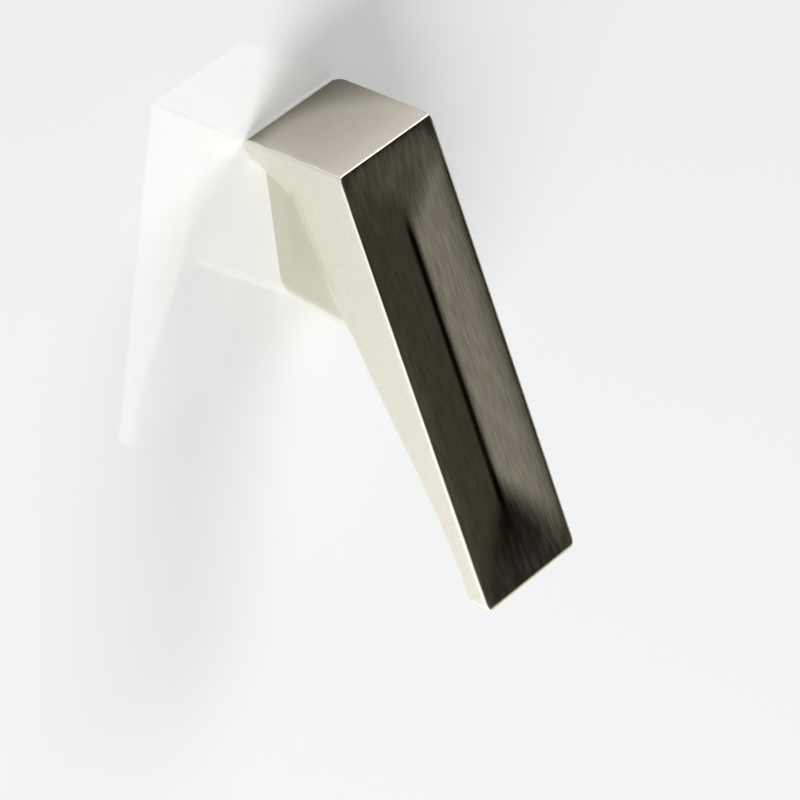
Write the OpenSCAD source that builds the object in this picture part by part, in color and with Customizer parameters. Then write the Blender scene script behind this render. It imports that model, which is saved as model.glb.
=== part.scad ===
// Sash lift handle: a one-post pull that hooks over a hidden dovetail plate.
// The plate is screwed to the sash rail, and a grub screw under the post locks the handle to it.
// Frame: origin midway between the two plate screws on the rail's face, +Z up,
// the rail behind the handle at y > 0, the handle reaching towards -Y.

/* [Arm] */
// Width of the arm and head
arm_w = 18; // [15:0.5:26]
// Overall height, from the top face to the tip
arm_h = 63.2; // [56:0.2:80]
// Lean of the front face away from the rail, in degrees
front_tilt = 15.6; // [10:0.2:20]
// Depth of the flat top face, from the rail to the front edge
head_depth = 16.4; // [15:0.2:20]
// Thickness of the arm behind the front face, where it leaves the head
root_t = 9.2; // [8.5:0.1:11]
// Thickness of the arm at the tip
tip_t = 3; // [2.6:0.1:4]
// Radius of the round behind the tip
tip_round = 3; // [1.5:0.1:3.2]
// Distance up from the tip in which the back of the arm is straight
slim_len = 5.6; // [4:0.1:8]
// Reach up from the tip of the curve's slim end, behind the arm
slim_reach = 23.6; // [18:0.1:28]
// Reach up from the tip of the curve's stout end, behind the arm
stout_reach = 33.5; // [30:0.1:40]
// Extra thickness at which the curve's slim end aims
slim_swell = 0.5; // [0:0.1:1]
// Radius of the lower corners of the arm, seen from the front
lower_corner_r = 1.2; // [0.4:0.1:3]

/* [Heel] */
// Thickness of the heel that runs back to the rail
heel_t = 4.6; // [3.5:0.1:5]
// Radius of the round under the back of the heel
heel_round = 2.7; // [1:0.1:2.75]
// Radius of the heel's lower side edges
heel_edge_r = 1.8; // [0.4:0.1:2]
// Radius of the cove where the heel meets the arm
heel_cove = 1.8; // [0.5:0.1:2.5]
// Radius of the back corners of the head, seen from above
head_corner_r = 1.6; // [0.4:0.1:3]
// Radius of the top edge along the rail
back_edge_r = 0.4; // [0.2:0.1:0.75]
// Radius of the crisp edges round the front face
front_edge_r = 0.3; // [0.1:0.05:0.6]

/* [Finger dish] */
// Depth of the dish at its valley
dish_depth = 1.3; // [0.6:0.1:2]
// Distance down the front face at which the valley starts
valley_start = 10.5; // [6:0.5:18]
// Distance up from the tip at which the valley ends
valley_end = 12.5; // [8:0.5:20]
// Width of the plain lip left round the dish
dish_lip = 0.4; // [0.2:0.1:1.5]
// Radius of the valley's bottom
valley_r = 5; // [1:0.5:10]

/* [Post] */
// Width of the post
post_w = 12.4; // [12:0.1:14.5]
// Distance from the top face to the underside of the post
post_h = 28.5; // [26:0.1:33]
// Radius of the post's lower side edges
post_side_r = 3.7; // [0.5:0.1:4]
// Radius of the post's lower back edge
post_back_r = 1.6; // [0.5:0.1:2]
// Thickness of arm left between the post's core and the front face
front_cover = 5; // [4:0.5:6]

/* [Plate pocket] */
// Thickness of the pocket's side walls
pocket_wall = 1.7; // [1.4:0.1:1.8]
// Thickness of the pocket's floor, which carries the grub screw
floor_t = 3.2; // [2.6:0.1:4]
// Distance from the top face to the lip that hooks over the plate
lip_drop = 5.4; // [5:0.1:6.5]
// Depth of the pocket from the rail
pocket_depth = 8; // [6.5:0.1:9]
// Radius in the pocket's deep corners
pocket_r = 0.8; // [0.2:0.1:1]

/* [Mounting plate] */
// Thickness of the mounting plate
plate_t = 5; // [4:0.1:5.5]
// Slope of the plate's dovetailed top and bottom edges, in degrees
dovetail = 15; // [8:1:20]
// Gap between each side of the plate and the pocket
plate_side_gap = 0.15; // [0.1:0.05:0.4]
// Gap between the plate's upper edge and the lip that bears on it
seat_gap = 0.05; // [0.02:0.01:0.1]
// Spare height of the pocket, which lets the handle drop over the plate
hook_play = 1.5; // [1.4:0.1:3]

/* [Plate screws] */
// Distance between the two wood screws
screw_pitch = 8; // [7:0.1:8.5]
// Overall length of a wood screw
screw_len = 20; // [14:1:35]
// Outside diameter of the wood screw's thread
screw_d = 3; // [2.5:0.1:3]
// Diameter of the plain shank under the head
shank_d = 2.4; // [2:0.1:2.4]
// Diameter of the countersunk head
screw_head_d = 5.6; // [5:0.1:6]
// Radial gap between a thread and its hole in the plate
screw_hole_gap = 0.1; // [0.05:0.05:0.2]
// Length of plain shank that stands out behind the plate
shank_out = 0.3; // [0.2:0.1:2]
// Length of the screw's pointed end
screw_point = 3; // [2:0.5:5]
// Width of the slots of the screw's cross recess
recess_w = 0.8; // [0.5:0.1:1]
// Length of the slots of the screw's cross recess
recess_len = 2.8; // [2:0.1:3.2]
// Depth of the screw's cross recess
recess_depth = 1.2; // [0.6:0.1:1.5]

/* [Grub screw] */
// Outside diameter of the grub screw
grub_d = 4; // [3:0.5:4]
// Length of the grub screw
grub_len = 6; // [5:0.5:7]
// Radial gap between the grub screw and its threaded hole
grub_fit = 0.05; // [0.02:0.01:0.09]
// Distance from the rail to the grub screw's axis
grub_depth = 3.6; // [3.2:0.1:4]
// Gap between the grub screw's point and the plate
point_gap = 0.05; // [0.02:0.01:0.2]
// Width across the flats of the hexagon socket
socket_flats = 2; // [1.3:0.1:2.2]
// Depth of the hexagon socket
socket_depth = 2.5; // [1.5:0.1:3]

/* [Hidden] */
$fn = 64;
arc_step = 12;
bezier_steps = 24;
// Overshoot of a cut past the face that it opens
over = 1;

// Height of the plate's sloped edge, from its back face to its front face
dovetail_rise = plate_t * tan(dovetail);
// Front height of the plate, which fills the pocket less the play needed to hook it on
plate_h = post_h - floor_t - lip_drop - hook_play;
pocket_w = post_w - 2 * pocket_wall;
plate_w = pocket_w - 2 * plate_side_gap;
// Depths below the top face of the plate's upper and lower front edges
plate_top = lip_drop - dovetail_rise + seat_gap;
plate_bottom = plate_top + plate_h;
// The frame's origin lies at the middle of the plate
top_z = (plate_top + plate_bottom) / 2;
// Depth below the top face at which the grub screw's point meets the plate
grub_top = plate_bottom - (plate_t - grub_depth) * tan(dovetail) + point_gap;
grub_cone = grub_d / 2;
// Radius left at the tip of each screw's point
point_r = 0.15;
// Across-corners size of the hexagon socket
socket_corners = socket_flats / cos(30);
screw_r = screw_d / 2;
head_r = screw_head_d / 2;
head_cone = head_r - shank_d / 2;
front_len = arm_h / cos(front_tilt);

function unit(v) = v / norm(v);

// Points of the arc that rounds corner b, between its neighbours a and c, at radius r
function corner(a, b, c, r) =
    r <= 0 ? [b] :
    let (u = unit(a - b), w = unit(c - b), half = acos(u * w) / 2)
    let (centre = b + unit(u + w) * r / sin(half), start = b + u * r / tan(half) - centre)
    let (sweep = 180 - 2 * half, steps = max(2, ceil(sweep / arc_step)))
    let (turn = sign(cross(w, u)))
    [for (i = [0:steps]) let (t = turn * sweep * i / steps)
        centre + [start.x * cos(t) - start.y * sin(t), start.x * sin(t) + start.y * cos(t)]];

// An outline whose corners are given as [x, y, radius]
function rounded(pts) = [for (i = [0:len(pts) - 1])
    let (n = len(pts), a = pts[(i + n - 1) % n], b = pts[i], c = pts[(i + 1) % n])
    each corner([a.x, a.y], [b.x, b.y], [c.x, c.y], b.z)];

function bezier(p, u) =
    pow(1 - u, 3) * p[0] + 3 * u * pow(1 - u, 2) * p[1] + 3 * u * u * (1 - u) * p[2] + pow(u, 3) * p[3];

// A point s down the front face and t behind it, as [distance from the rail, height]
function on_arm(s, t) = [
    head_depth + s * sin(front_tilt) - t * cos(front_tilt),
    top_z - s * cos(front_tilt) - t * sin(front_tilt)];

// Distance down the front face at which the back of the arm starts, just below the cove
back_start = (heel_t + heel_cove - root_t * sin(front_tilt)) / cos(front_tilt);

// The back of the arm: stout under the head, drawn in at the middle, slim and straight at the tip
back_line = [
    on_arm(back_start, root_t),
    on_arm(front_len - stout_reach, root_t),
    on_arm(front_len - slim_reach, tip_t + slim_swell),
    on_arm(front_len - slim_len, tip_t)];

// Where the back of the arm, carried straight up, meets the underside of the heel
heel_corner_x = back_line[0].x - (top_z - heel_t - back_line[0].y) * tan(front_tilt);
tip_back_x = back_line[3].x + (back_line[3].y - top_z + arm_h) * tan(front_tilt);
tip_front_x = head_depth + arm_h * tan(front_tilt);

function side_outline() = rounded([
    [0, top_z, back_edge_r],
    [0, top_z - heel_t, heel_round],
    [heel_corner_x, top_z - heel_t, heel_cove],
    for (i = [0:bezier_steps]) let (p = bezier(back_line, i / bezier_steps)) [p.x, p.y, 0],
    [tip_back_x, top_z - arm_h, tip_round],
    [tip_front_x, top_z - arm_h, front_edge_r],
    [head_depth, top_z, front_edge_r]]);

// Extrudes an outline of [distance from the rail, height] across the handle
module across(width) {
    rotate([90, 0, -90])
        linear_extrude(width, center = true)
            children();
}

// Extrudes an outline of [x, height] from the rail's face outwards
module outwards(depth) {
    rotate([90, 0, 0])
        linear_extrude(depth)
            children();
}

module arm_and_heel() {
    intersection() {
        across(arm_w)
            polygon(side_outline());
        // Lower corners, seen from the front
        translate([0, over, 0])
            outwards(tip_front_x + 2 * over)
                polygon(rounded([
                    [-arm_w / 2, top_z + over, 0],
                    [-arm_w / 2, top_z - arm_h, lower_corner_r],
                    [arm_w / 2, top_z - arm_h, lower_corner_r],
                    [arm_w / 2, top_z + over, 0]]));
        // Back corners of the head, seen from above
        translate([0, 0, top_z - arm_h - over])
            linear_extrude(arm_h + 2 * over)
                polygon(rounded([
                    [-arm_w / 2, 0, head_corner_r],
                    [-arm_w / 2, -tip_front_x - over, 0],
                    [arm_w / 2, -tip_front_x - over, 0],
                    [arm_w / 2, 0, head_corner_r]]));
    }
}

// Cuts the lower side edges of the heel round, from the rail to the cove
module heel_edges() {
    for (side = [0, 1])
        mirror([side, 0, 0])
            translate([arm_w / 2 - heel_edge_r, over, top_z - heel_t])
                outwards(heel_corner_x - heel_cove + over)
                    difference() {
                        translate([0, -over])
                            square(heel_edge_r + over);
                        translate([0, heel_edge_r])
                            circle(heel_edge_r);
                    }
}

module post() {
    bottom_z = top_z - post_h;
    reach_top = head_depth - front_cover;
    reach_bottom = reach_top + post_h * tan(front_tilt);
    intersection() {
        across(post_w)
            polygon(rounded([
                [0, top_z - back_edge_r, 0],
                [0, bottom_z, post_back_r],
                [reach_bottom, bottom_z, 0],
                [reach_top, top_z - back_edge_r, 0]]));
        translate([0, over, 0])
            outwards(reach_bottom + 2 * over)
                polygon(rounded([
                    [-post_w / 2, top_z, 0],
                    [-post_w / 2, bottom_z, post_side_r],
                    [post_w / 2, bottom_z, post_side_r],
                    [post_w / 2, top_z, 0]]));
    }
}

// The finger dish: a shallow trough whose ends slope up to the four corners of the front face
module dish() {
    half_w = arm_w / 2 - dish_lip;
    translate([0, -head_depth, top_z])
        rotate([-front_tilt, 0, 0])
            intersection() {
                translate([0, 0, -front_len])
                    linear_extrude(front_len)
                        polygon(rounded([
                            [-half_w, -over, 0],
                            [-half_w, 0, 0],
                            [0, dish_depth, valley_r],
                            [half_w, 0, 0],
                            [half_w, -over, 0]]));
                rotate([90, 0, 90])
                    linear_extrude(arm_w, center = true)
                        polygon([
                            [-over, -dish_lip],
                            [0, -dish_lip],
                            [dish_depth, -valley_start],
                            [dish_depth, -front_len + valley_end],
                            [0, -front_len + dish_lip],
                            [-over, -front_len + dish_lip]]);
            }
}

// The pocket in the back of the post, with the sloped lip that hooks over the plate
module pocket() {
    lip_z = top_z - lip_drop;
    floor_z = top_z - post_h + floor_t;
    slope_depth = plate_t + plate_side_gap;
    ceiling_z = lip_z + slope_depth * tan(dovetail);
    across(pocket_w)
        polygon(rounded([
            [-over, floor_z, 0],
            [-over, lip_z, 0],
            [0, lip_z, 0],
            [slope_depth, ceiling_z, 0],
            [pocket_depth, ceiling_z, pocket_r],
            [pocket_depth, floor_z, pocket_r]]));
}

module grub_hole() {
    translate([0, -grub_depth, top_z - post_h - over])
        cylinder(h = floor_t + 2 * over, d = grub_d + 2 * grub_fit);
}

module handle_body() {
    color([0.75, 0.72, 0.66])
        difference() {
            union() {
                difference() {
                    arm_and_heel();
                    heel_edges();
                }
                post();
            }
            dish();
            pocket();
            grub_hole();
        }
}

module countersunk_hole() {
    gap = screw_hole_gap;
    rotate([90, 0, 0]) {
        translate([0, 0, -over])
            cylinder(h = plate_t + 2 * over, r = screw_r + gap);
        translate([0, 0, plate_t - head_cone - gap])
            cylinder(h = head_cone + gap + over, r1 = head_r - head_cone, r2 = head_r + gap + over);
    }
}

module mounting_plate() {
    color([0.62, 0.63, 0.65])
        difference() {
            across(plate_w)
                polygon([
                    [0, top_z - plate_bottom + dovetail_rise],
                    [0, top_z - plate_top - dovetail_rise],
                    [plate_t, top_z - plate_top],
                    [plate_t, top_z - plate_bottom]]);
            for (side = [-1, 1])
                translate([0, 0, side * screw_pitch / 2])
                    countersunk_hole();
        }
}

// A wood screw along +Z from the top of its head, which lies at z = 0
module wood_screw() {
    thread_start = plate_t + shank_out;
    difference() {
        union() {
            cylinder(h = head_cone, r1 = head_r, r2 = shank_d / 2);
            cylinder(h = thread_start + over, d = shank_d);
            translate([0, 0, thread_start])
                cylinder(h = screw_len - thread_start - screw_point, r = screw_r);
            translate([0, 0, screw_len - screw_point])
                cylinder(h = screw_point, r1 = screw_r, r2 = point_r);
        }
        for (turn = [0, 90])
            rotate([0, 0, turn])
                translate([-recess_len / 2, -recess_w / 2, -over])
                    cube([recess_len, recess_w, over + recess_depth]);
    }
}

module plate_screws() {
    color([0.78, 0.78, 0.8])
        for (side = [-1, 1])
            translate([0, -plate_t, side * screw_pitch / 2])
                rotate([-90, 0, 0])
                    wood_screw();
}

module grub_screw() {
    color([0.2, 0.2, 0.21])
        translate([0, -grub_depth, top_z - grub_top])
            rotate([180, 0, 0])
                difference() {
                    union() {
                        cylinder(h = grub_cone, r1 = point_r, r2 = grub_d / 2);
                        translate([0, 0, grub_cone])
                            cylinder(h = grub_len - grub_cone, d = grub_d);
                    }
                    translate([0, 0, grub_len - socket_depth])
                        cylinder(h = socket_depth + over, d = socket_corners, $fn = 6);
                }
}

handle_body();
mounting_plate();
plate_screws();
grub_screw();
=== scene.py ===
from math import ceil, copysign, cos, pi, radians, sin, sqrt, tan

import bmesh
import bpy
from mathutils import Euler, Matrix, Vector, noise


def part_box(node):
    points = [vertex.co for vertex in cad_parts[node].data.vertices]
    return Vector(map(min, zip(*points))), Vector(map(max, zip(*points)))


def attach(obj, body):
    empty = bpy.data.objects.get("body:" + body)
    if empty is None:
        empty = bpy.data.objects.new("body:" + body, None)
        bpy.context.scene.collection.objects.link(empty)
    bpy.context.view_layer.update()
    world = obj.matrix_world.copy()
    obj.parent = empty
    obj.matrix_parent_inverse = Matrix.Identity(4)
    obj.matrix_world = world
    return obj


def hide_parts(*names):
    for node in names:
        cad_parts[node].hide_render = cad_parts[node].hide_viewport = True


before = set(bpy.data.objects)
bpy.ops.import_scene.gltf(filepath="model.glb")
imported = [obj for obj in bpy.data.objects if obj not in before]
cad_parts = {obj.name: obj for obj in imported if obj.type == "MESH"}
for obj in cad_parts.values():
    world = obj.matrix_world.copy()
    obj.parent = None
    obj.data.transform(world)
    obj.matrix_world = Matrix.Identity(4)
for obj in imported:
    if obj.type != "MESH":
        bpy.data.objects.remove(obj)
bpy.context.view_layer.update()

scene = bpy.context.scene
mm = 0.001

# The handle hangs from its flat top, so heights below are measured down from there
handleLow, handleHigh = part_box("handle_body")
plateLow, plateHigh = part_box("mounting_plate")
screwLow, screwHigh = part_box("plate_screws")
grubLow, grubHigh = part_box("grub_screw")
topZ = handleHigh.z
frontTilt = 15.6  # degrees
tilt = radians(frontTilt)
halfWidth = handleHigh.x / mm
armHeight = (topZ - handleLow.z) / mm
frontLength = armHeight / cos(tilt)
print("frame loaded: handle", [round(v / mm, 1) for v in handleHigh - handleLow], "mm")

# Camera

cameraSetup = {
    "azimuth": -44.58,  # degrees round the handle; 0 looks straight at the rail
    "elevation": 35.82,
    "roll": -7.12,
    "lens": 253.2,  # mm, on a 36 mm sensor
    "nearest": 0.01,  # m
    "distance": 736.94,  # mm
    "aim": (-4.55, -17.97, -23.68),
}


def addObject(name, data):
    thing = bpy.data.objects.new(name, data)
    scene.collection.objects.link(thing)
    return thing


# Degrees to a direction away from the rail; azimuth 0 points straight out of it
def directionOf(azimuth, elevation):
    around = radians(azimuth)
    above = radians(elevation)
    return Vector((sin(around) * cos(above),
                   -cos(around) * cos(above),
                   sin(above)))


def addCamera(setup):
    data = bpy.data.cameras.new("camera")
    data.lens = setup["lens"]
    data.clip_start = setup["nearest"]
    camera = addObject("camera", data)
    back = directionOf(setup["azimuth"], setup["elevation"])
    camera.location = Vector(setup["aim"]) * mm + back * setup["distance"] * mm
    level = (-back).to_track_quat("-Z", "Y")
    roll = Euler((0, 0, radians(setup["roll"]))).to_quaternion()
    camera.rotation_euler = (level @ roll).to_euler()
    scene.camera = camera


addCamera(cameraSetup)
scene.view_settings.view_transform = "Standard"
print("camera set")

# Node helpers


def addNode(tree, kind, inputs=None, **settings):
    node = tree.nodes.new("ShaderNode" + kind)
    for name, value in settings.items():
        setattr(node, name, value)
    for socket, value in (inputs or {}).items():
        if isinstance(value, bpy.types.NodeSocket):
            tree.links.new(value, node.inputs[socket])
        else:
            node.inputs[socket].default_value = value
    return node


def mathOf(tree, operation, a, b=0.0, c=0.0, clamp=False):
    node = addNode(tree, "Math", {0: a, 1: b, 2: c}, operation=operation, use_clamp=clamp)
    return node.outputs[0]


def product(tree, first, *others):
    for value in others:
        first = mathOf(tree, "MULTIPLY", first, value)
    return first


# Turns a value from 0 to 1 into one that swings by that width about the middle
def swing(tree, value, middle, width):
    return mathOf(tree, "MULTIPLY_ADD", value, width, middle - width / 2)


def smoothStep(tree, value, low, high):
    node = addNode(tree, "MapRange", {"Value": value, "From Min": low, "From Max": high},
                   interpolation_type="SMOOTHSTEP")
    return node.outputs["Result"]


def dotWith(tree, vector, direction):
    node = addNode(tree, "VectorMath", {0: vector, 1: direction}, operation="DOT_PRODUCT")
    return node.outputs["Value"]


def scaled(tree, vector, factors):
    node = addNode(tree, "VectorMath", {0: vector, 1: factors}, operation="MULTIPLY")
    return node.outputs["Vector"]


def mixColors(tree, factor, a, b):
    node = addNode(tree, "Mix", {"Factor": factor, 6: a, 7: b}, data_type="RGBA")
    return node.outputs[2]


def mixValues(tree, factor, a, b):
    return addNode(tree, "Mix", {"Factor": factor, 2: a, 3: b}).outputs[0]


def startMaterial(name):
    material = bpy.data.materials.new(name)
    material.use_nodes = True
    material.node_tree.nodes.clear()
    return material, material.node_tree


def finishMaterial(tree, shader):
    output = addNode(tree, "OutputMaterial")
    tree.links.new(shader, output.inputs["Surface"])


def startGroup(name, inputs, outputs):
    group = bpy.data.node_groups.new(name, "ShaderNodeTree")
    for label, kind in inputs.items():
        group.interface.new_socket(label, in_out="INPUT", socket_type="NodeSocket" + kind)
    for label in outputs:
        group.interface.new_socket(label, in_out="OUTPUT", socket_type="NodeSocketFloat")
    return group, group.nodes.new("NodeGroupInput"), group.nodes.new("NodeGroupOutput")


def finishMetal(tree, color, rough, height, more=None):
    bump = addNode(tree, "Bump", {"Height": height, "Strength": 1.0, "Distance": 1.0})
    shader = addNode(tree, "BsdfPrincipled",
                     {"Base Color": color, "Metallic": 1.0, "Roughness": rough,
                      "Normal": bump.outputs[0], **(more or {})})
    finishMaterial(tree, shader.outputs[0])


# Fine pits of a blasted or plated skin, with a soft mottle; sizes in millimetres
def makeGrainGroup():
    group, given, out = startGroup(
        "castGrain", {"Position": "Vector", "Grain": "Float", "Mottle size": "Float"}, ["Height", "Mottle"])
    inMm = scaled(group, given.outputs["Position"], (1 / mm, 1 / mm, 1 / mm))
    patterns = (("Height", "Grain", 2.0, 0.6), ("Mottle", "Mottle size", 3.0, 0.5))
    for label, size, detail, roughness in patterns:
        scale = mathOf(group, "DIVIDE", 1.0, given.outputs[size])
        pattern = addNode(group, "TexNoise",
                          {"Vector": inMm, "Scale": scale, "Detail": detail, "Roughness": roughness})
        group.links.new(pattern.outputs[0], out.inputs[label])
    return group


# Straight brush marks that run along V; U and V are in millimetres
def makeBrushGroup():
    group, given, out = startGroup(
        "brushMarks", {"UV": "Vector", "Width": "Float", "Length": "Float"}, ["Fine", "Broad"])
    parts = addNode(group, "SeparateXYZ", {0: given.outputs["UV"]})
    across = mathOf(group, "DIVIDE", parts.outputs[0], given.outputs["Width"])
    along = mathOf(group, "DIVIDE", parts.outputs[1], given.outputs["Length"])
    contrast = (0.28, 0.72)
    for label, squeeze, seed, detail in (("Fine", 1.0, 3.1, 2.0), ("Broad", 0.16, 17.7, 1.0)):
        spot = addNode(group, "CombineXYZ", {0: product(group, across, squeeze), 1: along, 2: seed})
        marks = addNode(group, "TexNoise", {"Vector": spot.outputs[0], "Scale": 1.0, "Detail": detail})
        group.links.new(smoothStep(group, marks.outputs[0], *contrast), out.inputs[label])
    return group


grainGroup = makeGrainGroup()
brushGroup = makeBrushGroup()


def addGrain(tree, coords, size, mottleSize):
    return addNode(tree, "Group", node_tree=grainGroup,
                   inputs={"Position": coords.outputs["Object"], "Grain": size, "Mottle size": mottleSize})


# Studio: white wall, world, lamps

studio = {
    "wallColor": (0.90, 0.905, 0.91, 1),
    "wallRough": 0.04,
    "wallGloss": 1.68,  # index of refraction of the wall's lacquer
    "wallSize": 3.0,  # m
    "wallGap": 0.05,  # mm behind the rail face
    "contact": 0.00015,  # m; the wall lets rays shorter than this through
    "ambient": 0.43,
    "skyColor": (0.93, 0.94, 0.95, 1),
    "flagColor": (0.060, 0.058, 0.044, 1),
    "lensColor": (0.004, 0.003, 0.002, 1),
    "fringeColor": (0.93, 0.925, 0.80, 1),
    "glowColor": (2.5, 2.48, 2.4, 1),
    "windowColor": (2.3, 2.3, 2.3, 1),
}

# Soft cards that only reflections see, in degrees: azimuth, elevation, inner and outer radius
cards = {
    "flag": (45, -2, 18, 46),
    "lens": (35, -4, 7, 11),
    "glow": (-40, -42, 18, 42),
    "window": (45, 42, 6, 20),
}

lamps = {
    "lampLeft": {"toward": (-1.02, -1.1, -0.9), "distance": 1.2, "size": 0.75, "power": 10.1},
    "lampRight": {"toward": (1.36, -1.0, 0.58), "distance": 1.2, "size": 0.75, "power": 5.7},
    "lampBackLeft": {"toward": (-0.7, 1.0, 0.5), "distance": 0.9, "size": 0.5, "power": 2.5},
    "lampBackRight": {"toward": (0.8, 1.0, -0.2), "distance": 0.9, "size": 0.5, "power": 1.8},
}


def addWall(setup):
    mesh = bpy.data.meshes.new("wall")
    half = setup["wallSize"] / 2
    y = setup["wallGap"] * mm
    corners = [(-half, y, -half), (half, y, -half), (half, y, half), (-half, y, half)]
    mesh.from_pydata(corners, [], [(0, 1, 2, 3)])
    wall = addObject("wall", mesh)
    material, tree = startMaterial("wallLacquer")
    paint = addNode(tree, "BsdfPrincipled",
                    {"Base Color": setup["wallColor"], "Roughness": setup["wallRough"],
                     "IOR": setup["wallGloss"]})
    clear = addNode(tree, "BsdfTransparent")
    behind = addNode(tree, "NewGeometry").outputs["Backfacing"]
    rayLength = addNode(tree, "LightPath").outputs["Ray Length"]
    touching = mathOf(tree, "LESS_THAN", rayLength, setup["contact"])
    seeThrough = mathOf(tree, "MAXIMUM", behind, touching)
    surface = addNode(tree, "MixShader", {0: seeThrough, 1: paint.outputs[0], 2: clear.outputs[0]})
    finishMaterial(tree, surface.outputs[0])
    mesh.materials.append(material)


# How far a direction lies outside a card: 0 inside its inner radius, 1 beyond its outer one
def outsideCard(tree, direction, card):
    azimuth, elevation, inner, outer = card
    angle = mathOf(tree, "ARCCOSINE", dotWith(tree, direction, directionOf(azimuth, elevation)))
    return smoothStep(tree, angle, radians(inner), radians(outer))


# Plain light everywhere, but reflections find a dark card with a black middle and a bright
# window above it on the right, and a glow low on the left
def addWorld(setup):
    world = bpy.data.worlds.new("studio")
    scene.world = world
    world.use_nodes = True
    tree = world.node_tree
    tree.nodes.clear()
    direction = addNode(tree, "TexCoord").outputs["Generated"]
    openSky = outsideCard(tree, direction, cards["flag"])
    card = mixColors(tree, openSky, setup["fringeColor"], setup["skyColor"])
    card = mixColors(tree, openSky, setup["flagColor"], card)
    for name in ("lens", "glow", "window"):
        outside = outsideCard(tree, direction, cards[name])
        card = mixColors(tree, outside, setup[name + "Color"], card)
    path = addNode(tree, "LightPath")
    color = mixColors(tree, path.outputs["Is Camera Ray"], card, setup["skyColor"])
    seen = addNode(tree, "Background", {"Color": color, "Strength": 1.0})
    ambient = addNode(tree, "Background", {"Color": setup["skyColor"], "Strength": setup["ambient"]})
    direct = mathOf(tree, "ADD", path.outputs["Is Camera Ray"], path.outputs["Is Glossy Ray"])
    direct = mathOf(tree, "ADD", direct, path.outputs["Is Transmission Ray"], clamp=True)
    surface = addNode(tree, "MixShader", {0: direct, 1: ambient.outputs[0], 2: seen.outputs[0]})
    output = addNode(tree, "OutputWorld")
    tree.links.new(surface.outputs[0], output.inputs["Surface"])


def addLamp(name, setup):
    data = bpy.data.lights.new(name, "AREA")
    data.shape = "DISK"
    data.size = setup["size"]
    data.energy = setup["power"]
    lamp = addObject(name, data)
    toward = Vector(setup["toward"]).normalized()
    lamp.location = Vector(cameraSetup["aim"]) * mm + toward * setup["distance"]
    lamp.rotation_euler = toward.to_track_quat("Z", "Y").to_euler()
    lamp.visible_camera = False
    lamp.visible_glossy = False


addWall(studio)
addWorld(studio)
for lampName, lampSetup in lamps.items():
    addLamp(lampName, lampSetup)
print("wall, world and lamps in place")

# Materials

nickel = {
    # brushed nickel, painted darker than the blasted as shade on the top and the front
    "brushed": (0.60, 0.553, 0.467, 1),
    "blasted": (0.77, 0.747, 0.656, 1),
    "postShade": (0.64, 0.617, 0.515, 1),  # painted shade: the post, set back between the heel and the rail, is darker
    # painted light: lighter nickel on downward roundings of the post and on the heel's end by the rail
    "paintedLightBelow": (0.90, 0.878, 0.79, 1),
    "polishedHighlight": (0.97, 0.95, 0.89, 1),  # the edge between the top and the front: polished, and painted brighter as a highlight
    "worn": (0.74, 0.72, 0.64, 1),  # side edges, where fingers rub
    "paintedRim": (0.70, 0.64, 0.47, 1),  # painted warm fringe along the right and lower edges, standing in for their reflection
    "valleyShade": (0.12, 0.11, 0.08, 1),  # painted shade along the bottom of the dish
    "railShade": (0.17, 0.155, 0.12, 1),  # painted shade on the top along the rail
    "brushedRough": 0.13,
    "blastedRough": 0.46,
    "polishedRough": 0.22,
    "wornRough": 0.3,
    "rimRough": 0.6,
    "creaseRough": 0.08,
    "endRough": 0.07,  # added where the brush turns, at both ends of the front
    "leftShare": 1.3,  # and this much of it down the left side
    "roughStreaks": 0.04,
    "roughMottle": 0.08,
    "anisotropy": 0.55,
    "streaks": 0.30,
    "broadStreaks": 0.08,
    "topStreaks": 0.3,  # share of the streaks on the top, which is brushed finer
    "frontLight": 0.08,  # painted light: the front of the top is brighter
    "speckle": 0.25,
    "ragged": 0.5,  # unevenness of the line where brushed meets blasted
    "topWear": 0.25,  # share of the wear on the top's edges
    "heelLight": 0.35,  # share of the painted light on the heel's end by the rail
    "markWidth": 0.11,  # mm, as are the lengths below
    "markLength": 3.6,
    "markDepth": 0.002,
    "broadDepth": 0.6,  # of the fine marks' depth
    "grainSize": 0.24,
    "grainDepth": 0.018,
    "mottleSize": 5.0,
    "postHalf": 5.9,
    "creaseX": 0.25,
    "railShadeStart": -1,
    "railShadeReach": 3.5,  # of the painted shade, from the rail, and further on the right
    "railShadeX": -5,
    "railShadeSpread": 0.055,
    "frontAndTop": (0, -0.79, 0.61),
}

# Each mask is a product of smooth steps, 0 at the first value and 1 at the second. Lengths are
# in millimetres, and the other values are shares of a direction or of the mottle
nickelMasks = {
    "brushed": {"facing": (0.5, 0.58), "sideways": (0.6, 0.42)},
    "upperEnd": {"downFront": (12, 3)},
    "lowerEnd": {"fromTip": (11, 2)},
    "leftSide": {"x": (-5, -8.8), "downFront": (10, 30)},
    "onTop": {"upward": (0.5, 0.7)},
    "topFront": {"depth": (12, 15.5)},
    "outer": {"pastPost": (0.2, 2.4)},
    "heelLight": {"depth": (5, 1)},
    "below": {"downward": (-0.06, 0.22)},
    "postFoot": {"fall": (17, 22)},
    "postRail": {"depth": (4, 2.5)},
    "side": {"sideways": (0.35, 0.5), "facing": (0.05, 0.2)},
    "flatSide": {"sideways": (1.0, 0.9)},
    "sideOnTop": {"upward": (0.3, 0.5)},
    "chips": {"mottle": (0.46, 0.66)},
    "nose": {"upward": (0.5, 0.6), "sideways": (0.5, 0.3)},
    "flatTop": {"upward": (0.99, 0.94)},
    "valleyShade": {"fromCrease": (0.6, 0.15), "downFront": (9.5, 13), "fromTip": (10, 13),
               "facing": (0.6, 0.8)},
    "rightRim": {"fromRight": (0.5, 0.2)},
    "tipRim": {"fromTip": (1.0, 0.6)},
    "rimEdge": {"facing": (-0.1, 0.1), "upward": (0.6, 0.4)},
}


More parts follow.
